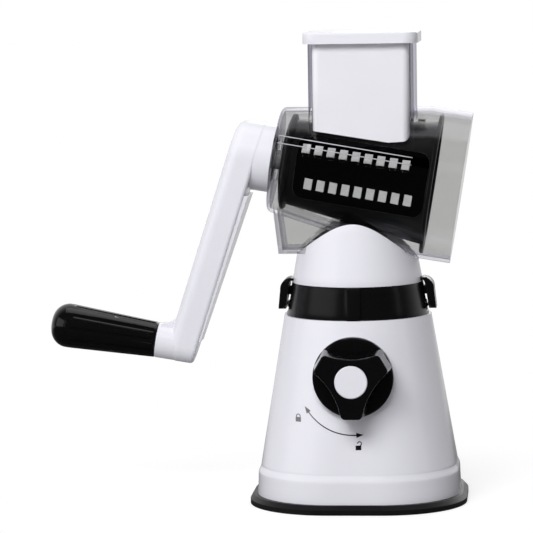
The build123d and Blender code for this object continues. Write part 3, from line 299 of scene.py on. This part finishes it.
def upright_disc(bm, radius, at, segments=28, turn=0.0):
    """A flat round or many-sided disc that faces -Y, at a place (X, Z)."""
    made = bmesh.ops.create_circle(bm, cap_ends=True, radius=radius, segments=segments)["verts"]
    stand = Matrix.Translation((at[0], MARK_PLANE, at[1])) @ Matrix.Rotation(turn, 4, "Y") @ Matrix.Rotation(
        radians(90), 4, "X")
    bmesh.ops.transform(bm, matrix=stand, verts=made)
    return made


def arc_band(bm, middle, radius, width, start, end, steps):
    """A flat curved band that faces -Y, spun round a place (X, Z)."""
    axis = Vector((middle[0], MARK_PLANE, middle[1]))
    ends = [bm.verts.new(axis + Vector((cos(start) * r, 0, sin(start) * r)))
            for r in (radius - width / 2, radius + width / 2)]
    edge = bm.edges.new(ends)
    bmesh.ops.spin(bm, geom=[edge] + ends, cent=axis, axis=(0, -1, 0), angle=end - start,
                   steps=steps, use_merge=False)


def laid_on(name, bm, node):
    """Lay flat artwork on the front of a node, and keep it as a mesh of its own."""
    bmesh.ops.remove_doubles(bm, verts=bm.verts, dist=0.000002)
    bmesh.ops.triangulate(bm, faces=bm.faces)
    bmesh.ops.subdivide_edges(bm, edges=bm.edges, cuts=3, use_grid_fill=True)
    mesh = bpy.data.meshes.new(name)
    bm.to_mesh(mesh)
    bm.free()
    art = bpy.data.objects.new(name, mesh)
    scene.collection.objects.link(art)
    wrap = art.modifiers.new("lay", "SHRINKWRAP")
    wrap.target = nodes[node]
    wrap.wrap_method = "PROJECT"
    wrap.use_project_y = True
    wrap.use_positive_direction = True
    wrap.use_negative_direction = False
    wrap.wrap_mode = "ON_SURFACE"
    wrap.offset = 0.0
    skin = art.modifiers.new("ink", "SOLIDIFY")
    skin.thickness = INK_THICK
    skin.offset = 0.0
    view = bpy.context.evaluated_depsgraph_get()
    view.update()
    laid = bpy.data.meshes.new_from_object(art.evaluated_get(view))
    art.modifiers.clear()
    art.data = laid
    return art


bm = bmesh.new()
arc_band(bm, MARK_AT, ARROW_R, ARROW_LINE, ARROW_FROM + 0.08, ARROW_TO - 0.08, 44)
for angle, sense in ((ARROW_FROM, -1), (ARROW_TO, 1)):
    tip_back = angle - sense * HEAD_OFF
    place = (MARK_AT[0] + cos(tip_back) * ARROW_R, MARK_AT[1] + sin(tip_back) * ARROW_R)
    corners = upright_disc(bm, 3.1 * MM, place, segments=3, turn=-tip_back - sense * radians(90) + pi / 2)
    there = Matrix.Translation((place[0], 0, place[1])) @ Matrix.Rotation(-tip_back, 4, "Y")
    back = Matrix.Rotation(tip_back, 4, "Y") @ Matrix.Translation((-place[0], 0, -place[1]))
    squeeze = there @ Matrix.Diagonal((0.62, 1, 1, 1)) @ back
    bmesh.ops.transform(bm, matrix=squeeze, verts=corners)
arrow = laid_on("turn_arrow", bm, "base_housing")
arrow.data.materials.append(ink)
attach(arrow, "root")

for name, at, swing in (("closed_padlock", (-0.0368, 0.0612), 0.0),
                        ("open_padlock", (0.0030, 0.0440), radians(38))):
    bm = bmesh.new()
    body_mid = (at[0], at[1] - 1.2 * MM)
    block = upright_disc(bm, 2.6 * MM, body_mid, segments=4, turn=radians(45))
    bmesh.ops.transform(bm, matrix=Matrix.Translation((body_mid[0], 0, body_mid[1])) @ Matrix.Diagonal(
        (1.0, 1, 0.8, 1)) @ Matrix.Translation((-body_mid[0], 0, -body_mid[1])), verts=block)
    hinge = Vector((at[0] + 1.25 * MM, MARK_PLANE, at[1] + 0.2 * MM))
    before = set(bm.verts)
    arc_band(bm, (at[0], at[1] + 0.9 * MM), 1.25 * MM, 0.6 * MM, 0, pi, 12)
    for side in (-1.25, 1.25):
        leg = upright_disc(bm, 0.424 * MM, (at[0] + side * MM, at[1] + 0.5 * MM), segments=4,
                           turn=radians(45))
        bmesh.ops.transform(bm, matrix=Matrix.Translation((0, 0, at[1] + 0.5 * MM)) @ Matrix.Diagonal(
            (1, 1, 1.5, 1)) @ Matrix.Translation((0, 0, -at[1] - 0.5 * MM)), verts=leg)
    shackle = [v for v in bm.verts if v not in before]
    bmesh.ops.rotate(bm, verts=shackle, cent=hinge, matrix=Matrix.Rotation(swing, 3, "Y"))
    lock = laid_on(name, bm, "base_housing")
    lock.data.materials.append(ink)
    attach(lock, "root")

# ---------------------------------------------------------------- Inner works of the base
# The frame inside the tower, the cam shaft with its clip, the lifting rod and its return
# spring, and the four screws that hold the base together. All are hidden in use.

SATIN_WHITE = moulding("white_satin_plastic", (0.76, 0.76, 0.77), 0.38, grain=0.02, relief=0.05)
SATIN_BLACK = moulding("black_satin_plastic", (0.008, 0.008, 0.0085), 0.34, grain=0.1, relief=0.05)


def turned_steel(name, colour=(0.60, 0.60, 0.62), rough=0.26, stretch=(40, 900, 900), metal=1.0):
    """Bright steel with fine drawn lines."""
    material, tree, output = shader_tree(name)
    place = tree.nodes.new("ShaderNodeTexCoord")
    mapping = tree.nodes.new("ShaderNodeMapping")
    mapping.inputs["Scale"].default_value = stretch
    lines = tree.nodes.new("ShaderNodeTexNoise")
    lines.inputs["Scale"].default_value = 1.0
    lines.inputs["Detail"].default_value = 4.0
    shade = tree.nodes.new("ShaderNodeValToRGB")
    shade.color_ramp.elements[0].color = (*[c * 0.86 for c in colour], 1)
    shade.color_ramp.elements[1].color = (*[min(1, c * 1.1) for c in colour], 1)
    sheen = tree.nodes.new("ShaderNodeMapRange")
    sheen.inputs["To Min"].default_value = rough * 0.75
    sheen.inputs["To Max"].default_value = rough * 1.35
    body = tree.nodes.new("ShaderNodeBsdfPrincipled")
    body.inputs["Metallic"].default_value = metal
    bump = tree.nodes.new("ShaderNodeBump")
    bump.inputs["Strength"].default_value = 0.06
    bump.inputs["Distance"].default_value = 0.0002
    tree.links.new(place.outputs["Object"], mapping.inputs["Vector"])
    tree.links.new(mapping.outputs["Vector"], lines.inputs["Vector"])
    tree.links.new(lines.outputs["Fac"], shade.inputs["Fac"])
    tree.links.new(lines.outputs["Fac"], sheen.inputs["Value"])
    tree.links.new(lines.outputs["Fac"], bump.inputs["Height"])
    tree.links.new(shade.outputs["Color"], body.inputs["Base Color"])
    tree.links.new(sheen.outputs["Result"], body.inputs["Roughness"])
    tree.links.new(bump.outputs["Normal"], body.inputs["Normal"])
    tree.links.new(body.outputs[0], output.inputs["Surface"])
    return material


STEEL = turned_steel("plain_steel")
dress("inner_frame", SATIN_WHITE)
dress("cam_shaft", SATIN_BLACK)
dress("lift_rod", SATIN_WHITE)
for name in ("shaft_clip", "return_spring", "base_screws"):
    dress(name, STEEL)

# ---------------------------------------------------------------- Knob
# Glossy black knob with three lobes on a round disc, and a white cap pressed in its
# face over the screw. A turn of 70 degrees lifts the suction foot.

BLACK = moulding("black_gloss_plastic", (0.003, 0.003, 0.0035), 0.13, grain=0.1, relief=0.006, gloss=0.5)
dress("knob", BLACK, edge=1.6, segments=4)
dress("knob_cap", WHITE, edge=0.3)
dress("knob_screw", STEEL)

# ---------------------------------------------------------------- Collar and latches
# A black collar screwed to the tower's deck. Two rocker latches on steel pins sit in
# its sides: their springs push the thumb pads out and the noses into the neck.

COLLAR_BLACK = moulding("collar_black_plastic", (0.004, 0.004, 0.0045), 0.24, grain=0.1,
                        relief=0.006, gloss=0.3)
dress("locking_collar", COLLAR_BLACK, edge=0.4)
dress("left_latch", COLLAR_BLACK, edge=0.5)
dress("right_latch", COLLAR_BLACK, edge=0.5)
for name in ("latch_pins", "left_latch_spring", "right_latch_spring", "collar_screws"):
    dress(name, STEEL)

# ---------------------------------------------------------------- Neck
# White sleeve between collar and barrel, cut to a saddle on top, with a spigot
# that drops into the collar.

dress("neck", WHITE, edge=0.3)
dress("neck_screws", STEEL)

# ---------------------------------------------------------------- Barrel and feed chute
# One smoky clear moulding: tapered barrel, hood over the drum's mouth, square chute
# and box foot. Its walls look darker where they are seen on edge, and clearest in the chute.

TILT = radians(9.4)              # slope and height of the barrel's axis
AXIS_Z = 0.2183
STRIP_UP = 15.7 * MM             # flat raised strip between the two rails
STRIP_HALF = 2.75 * MM
CHUTE_X = 5.4 * MM               # middle, half width and lower end of the chute's front wall
CHUTE_HALF = 34.45 * MM
CHUTE_FOOT = 0.236


def smoky_plastic(name, through, slant, on_edge):
    """Clear plastic that tints what lies behind it, and goes dark only where its wall is seen on edge."""
    material, tree, output = shader_tree(name)
    facing = tree.nodes.new("ShaderNodeLayerWeight")
    facing.inputs["Blend"].default_value = 0.5
    tint = tree.nodes.new("ShaderNodeValToRGB")
    tint.color_ramp.elements[0].position = 0.55
    tint.color_ramp.elements[0].color = (*through, 1)
    tint.color_ramp.elements[1].position = 0.985
    tint.color_ramp.elements[1].color = (*on_edge, 1)
    middle = tint.color_ramp.elements.new(0.86)
    middle.color = (*slant, 1)
    place = tree.nodes.new("ShaderNodeTexCoord")
    haze = tree.nodes.new("ShaderNodeTexNoise")
    haze.inputs["Scale"].default_value = 35.0
    tone = tree.nodes.new("ShaderNodeMapRange")
    tone.inputs["To Min"].default_value = 0.975
    tone.inputs["To Max"].default_value = 1.0
    tinted = tree.nodes.new("ShaderNodeMix")
    tinted.data_type = "RGBA"
    tinted.blend_type = "MULTIPLY"
    tinted.inputs["Factor"].default_value = 1.0
    clear = tree.nodes.new("ShaderNodeBsdfTransparent")
    shine = tree.nodes.new("ShaderNodeBsdfGlossy")
    shine.inputs["Roughness"].default_value = 0.02
    shine.inputs["Color"].default_value = (0.95, 0.95, 1.0, 1)
    surface = tree.nodes.new("ShaderNodeMixShader")
    lamp_light = tree.nodes.new("ShaderNodeBsdfTransparent")
    lamp_light.inputs["Color"].default_value = (0.97, 0.97, 0.975, 1)
    rays = tree.nodes.new("ShaderNodeLightPath")
    passing = tree.nodes.new("ShaderNodeMixShader")
    split = tree.nodes.new("ShaderNodeSeparateXYZ")
    tree.links.new(place.outputs["Object"], split.inputs[0])
    risen = maths(tree, "ADD", maths(tree, "MULTIPLY", split.outputs["X"], sin(TILT)), maths(
        tree, "MULTIPLY", maths(tree, "SUBTRACT", split.outputs["Z"], AXIS_Z), cos(TILT)))
    off_strip = ramped(tree, maths(tree, "ABSOLUTE", maths(tree, "SUBTRACT", risen, STRIP_UP), 0.0),
                       STRIP_HALF, STRIP_HALF + 0.0003, 0.0, 1.0)
    behind = ramped(tree, split.outputs["Y"], -0.022, -0.018, 0.0, 1.0)
    shown = maths(tree, "MAXIMUM", off_strip, behind)
    aslant = maths(tree, "MULTIPLY", facing.outputs["Facing"], shown)
    tree.links.new(aslant, tint.inputs["Fac"])
    tree.links.new(place.outputs["Object"], haze.inputs["Vector"])
    tree.links.new(haze.outputs["Fac"], tone.inputs["Value"])
    tree.links.new(tint.outputs["Color"], tinted.inputs["A"])
    tree.links.new(tone.outputs["Result"], tinted.inputs["B"])
    aside = maths(tree, "ABSOLUTE", maths(tree, "SUBTRACT", split.outputs["X"], CHUTE_X), 0.0)
    in_width = ramped(tree, aside, CHUTE_HALF + 0.0003, CHUTE_HALF + 0.0009, 1.0, 0.0)
    over_foot = ramped(tree, split.outputs["Z"], CHUTE_FOOT - 0.004, CHUTE_FOOT + 0.004, 0.0, 1.0)
    in_chute = maths(tree, "MULTIPLY", in_width, over_foot)
    thin = tree.nodes.new("ShaderNodeMix")
    thin.data_type = "RGBA"
    thin.inputs["B"].default_value = (0.975, 0.973, 0.985, 1)
    faced = maths(tree, "MULTIPLY", in_chute, ramped(tree, aslant, 0.2, 0.5, 1.0, 0.0))
    tree.links.new(faced, thin.inputs["Factor"])
    tree.links.new(tinted.outputs["Result"], thin.inputs["A"])
    corner = tree.nodes.new("ShaderNodeMix")
    corner.data_type = "RGBA"
    corner.inputs["B"].default_value = (0.30, 0.29, 0.36, 1)
    tree.links.new(maths(tree, "MULTIPLY", in_chute, ramped(tree, aslant, 0.45, 0.85, 0.0, 1.0)),
                   corner.inputs["Factor"])
    tree.links.new(thin.outputs["Result"], corner.inputs["A"])
    tree.links.new(corner.outputs["Result"], clear.inputs["Color"])
    slanting = maths(tree, "POWER", aslant, 5.0)
    tree.links.new(maths(tree, "MULTIPLY", shown, maths(
        tree, "ADD", maths(tree, "MULTIPLY", slanting, 0.45), 0.03)), surface.inputs["Fac"])
    tree.links.new(clear.outputs[0], surface.inputs[1])
    tree.links.new(shine.outputs[0], surface.inputs[2])
    tree.links.new(maths(tree, "MAXIMUM", rays.outputs["Is Shadow Ray"], rays.outputs["Is Diffuse Ray"]),
                   passing.inputs["Fac"])
    tree.links.new(surface.outputs[0], passing.inputs[1])
    tree.links.new(lamp_light.outputs[0], passing.inputs[2])
    tree.links.new(passing.outputs[0], output.inputs["Surface"])
    return material


SMOKY = smoky_plastic("smoky_clear_plastic", (0.835, 0.835, 0.832), (0.74, 0.74, 0.76), (0.06, 0.05, 0.12))
dress("barrel_housing", SMOKY)
dress("shaft_bush", SATIN_WHITE)
dress("thrust_washer", RUBBER)

# ---------------------------------------------------------------- Rails on the barrel
# Two thin ridges moulded along the front of the barrel. They are opaque pale grey, a painted highlight for
# the light their edges catch. They lie at the edges of its raised strip, from its end wall almost to its
# shoulder.

BARREL_FROM, BARREL_TO = -55.0, 43.0
BARREL_R_FROM, BARREL_R_TO = 34.9, 50.4
RAIL_UP = (18.1, 13.4)
RAIL_R = 0.34
RAIL_STEPS = 14
RAIL_FROM, RAIL_LONG = -52.0, 89.0


def on_barrel(s, y, n):
    """A point given along, across and above the barrel's axis in millimetres."""
    return Vector((s * cos(TILT) + n * sin(TILT), y, AXIS_Z / MM - s * sin(TILT) + n * cos(TILT))) * MM


# Painted highlight: the rails are opaque pale grey, standing in for the light their edges catch.
rail_painted_highlight = moulding("rail_painted_highlight_plastic", (0.62, 0.62, 0.66), 0.12, grain=0.03, relief=0.01, gloss=0.8)
for number, rise in enumerate(RAIL_UP):
    bm = bmesh.new()
    ring = bmesh.ops.create_circle(bm, cap_ends=True, radius=RAIL_R * MM, segments=8)["verts"]
    bmesh.ops.rotate(bm, verts=ring, cent=(0, 0, 0), matrix=Matrix.Rotation(radians(90), 3, "Y"))
    places = []
    for step in range(RAIL_STEPS + 1):
        s_here = RAIL_FROM + step * RAIL_LONG / RAIL_STEPS
        r_here = BARREL_R_FROM + (BARREL_R_TO - BARREL_R_FROM) * (s_here - BARREL_FROM) / (
            BARREL_TO - BARREL_FROM)
        places.append(on_barrel(s_here, -sqrt(r_here ** 2 - rise ** 2) - 0.05, rise))
    bmesh.ops.translate(bm, verts=ring, vec=places[0])
    front = list(bm.faces)
    for near, far in zip(places, places[1:]):
        grown = bmesh.ops.extrude_face_region(bm, geom=front)["geom"]
        moved = [v for v in grown if isinstance(v, bmesh.types.BMVert)]
        bmesh.ops.translate(bm, verts=moved, vec=far - near)
        front = [f for f in grown if isinstance(f, bmesh.types.BMFace)]
    bmesh.ops.recalc_face_normals(bm, faces=bm.faces)
    rail_mesh = bpy.data.meshes.new(f"barrel_rail_{number + 1}")
    bm.to_mesh(rail_mesh)
    bm.free()
    rail_mesh.materials.append(rail_painted_highlight)
    rail_mesh.polygons.foreach_set("use_smooth", [True] * len(rail_mesh.polygons))
    rail = bpy.data.objects.new(f"barrel_rail_{number + 1}", rail_mesh)
    scene.collection.objects.link(rail)
    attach(rail, "root")

# ---------------------------------------------------------------- Drum
# Black conical frame with a large flange at its open end, and three thin stainless
# panels with two rows of raised teeth each, their look painted: the polished sheet is coloured near-black, a
# painted reflection of a dark surround; the teeth are a pale steel, a painted reflection of the bright
# surround; and a bevel along the window's edge is a painted highlight.

dress("drum_frame", SATIN_BLACK, edge=0.3)

DRUM_FROM, DRUM_TO = -46.0, 50.7
DRUM_R_FROM, DRUM_R_TO = 28.1, 41.3
# Painted reflection: the polished sheet is coloured near-black to stand in for the dark surround it mirrors.
SHEET_PAINTED_DARK_REFLECTION = turned_steel("sheet_steel_painted_dark_reflection", (0.020, 0.020, 0.022), 0.10, stretch=(60, 700, 700))
# Painted reflection: the teeth are a pale, mostly non-metal steel that stands in for the bright surround they
# mirror.
TEETH_PAINTED_BRIGHT_REFLECTION = turned_steel("teeth_steel_painted_bright_reflection", (0.93, 0.93, 0.94), 0.50, stretch=(60, 700, 700), metal=0.3)
# Painted highlight: the bevel along the window's edge is coloured pale to draw the thin line of light on it.
RIM_PAINTED_HIGHLIGHT = turned_steel("panel_rim_painted_highlight", (0.85, 0.85, 0.87), 0.40, stretch=(60, 700, 700), metal=0.3)


def above_drum(point):
    """Height of a point over the drum's cone, and the direction straight out of the drum there."""
    x, y, z = point.x / MM, point.y / MM, (point.z - AXIS_Z) / MM
    s = x * cos(TILT) - z * sin(TILT)
    n = x * sin(TILT) + z * cos(TILT)
    out = Vector((n * sin(TILT), y, n * cos(TILT))).normalized()
    cone = DRUM_R_FROM + (DRUM_R_TO - DRUM_R_FROM) * (s - DRUM_FROM) / (DRUM_TO - DRUM_FROM)
    return hypot(y, n) - cone, out


for i in (1, 2, 3):
    bm = bmesh.new()
    bm.from_mesh(nodes[f"drum_panel_{i}"].data)
    bmesh.ops.remove_doubles(bm, verts=bm.verts, dist=0.000002)
    bmesh.ops.recalc_face_normals(bm, faces=bm.faces)
    for face in bm.faces:
        high = max(above_drum(v.co)[0] for v in face.verts)
        level, out = above_drum(face.calc_center_median())
        # Teeth faces take the painted bright reflection, the flat sheet the painted dark one.
        face.material_index = 1 if high > 0.25 else 0
        face.smooth = False
        face.tag = high < 0.1 and level > -0.1 and face.normal.dot(out) > 0.9
    rim_edges = []
    for edge in bm.edges:
        tags = [f.tag for f in edge.link_faces]
        others = [f for f in edge.link_faces if not f.tag]
        if any(tags) and others and others[0].material_index == 0 and min(
                above_drum(v.co)[0] for v in others[0].verts) < -0.25:
            rim_edges.append(edge)
    # The bevel takes the third material, the painted highlight along the rim.
    bmesh.ops.bevel(bm, geom=rim_edges, offset=0.5 * MM, affect="EDGES", segments=1,
                    profile=0.5, material=2, clamp_overlap=True)
    sheet = bpy.data.meshes.new(f"toothed_panel_{i}")
    bm.to_mesh(sheet)
    bm.free()
    for look in (SHEET_PAINTED_DARK_REFLECTION, TEETH_PAINTED_BRIGHT_REFLECTION, RIM_PAINTED_HIGHLIGHT):
        sheet.materials.append(look)
    panel = bpy.data.objects.new(f"toothed_panel_{i}", sheet)
    scene.collection.objects.link(panel)
    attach(panel, "drum")
    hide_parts(f"drum_panel_{i}")

# ---------------------------------------------------------------- Crank
# White hollow arm with its hub on the barrel's axis, a cover on its inner side, and a
# black fluted grip that spins on a steel axle.

dress("crank_arm", WHITE)
dress("crank_cover", WHITE, edge=0.3)
for name in ("crank_shaft", "grip_axle"):
    dress(name, STEEL)
dress("grip", BLACK, edge=0.4)
dress("grip_end", BLACK)

# ---------------------------------------------------------------- Pusher
# White hollow pusher with a scooped foot that follows the drum, and a lid that rests
# on the rim of the chute.

# The pusher's white is lighter than the body's: partly its own whiter plastic, partly painted light for the
# brighter light it shows inside the chute.
PUSHER_WHITE_AND_PAINTED_LIGHT = moulding("pusher_white_and_painted_light_plastic", (0.95, 0.945, 0.97), 0.25, gloss=0.4)
dress("pusher_body", PUSHER_WHITE_AND_PAINTED_LIGHT, edge=0.5)
dress("pusher_cap", WHITE, edge=0.5)
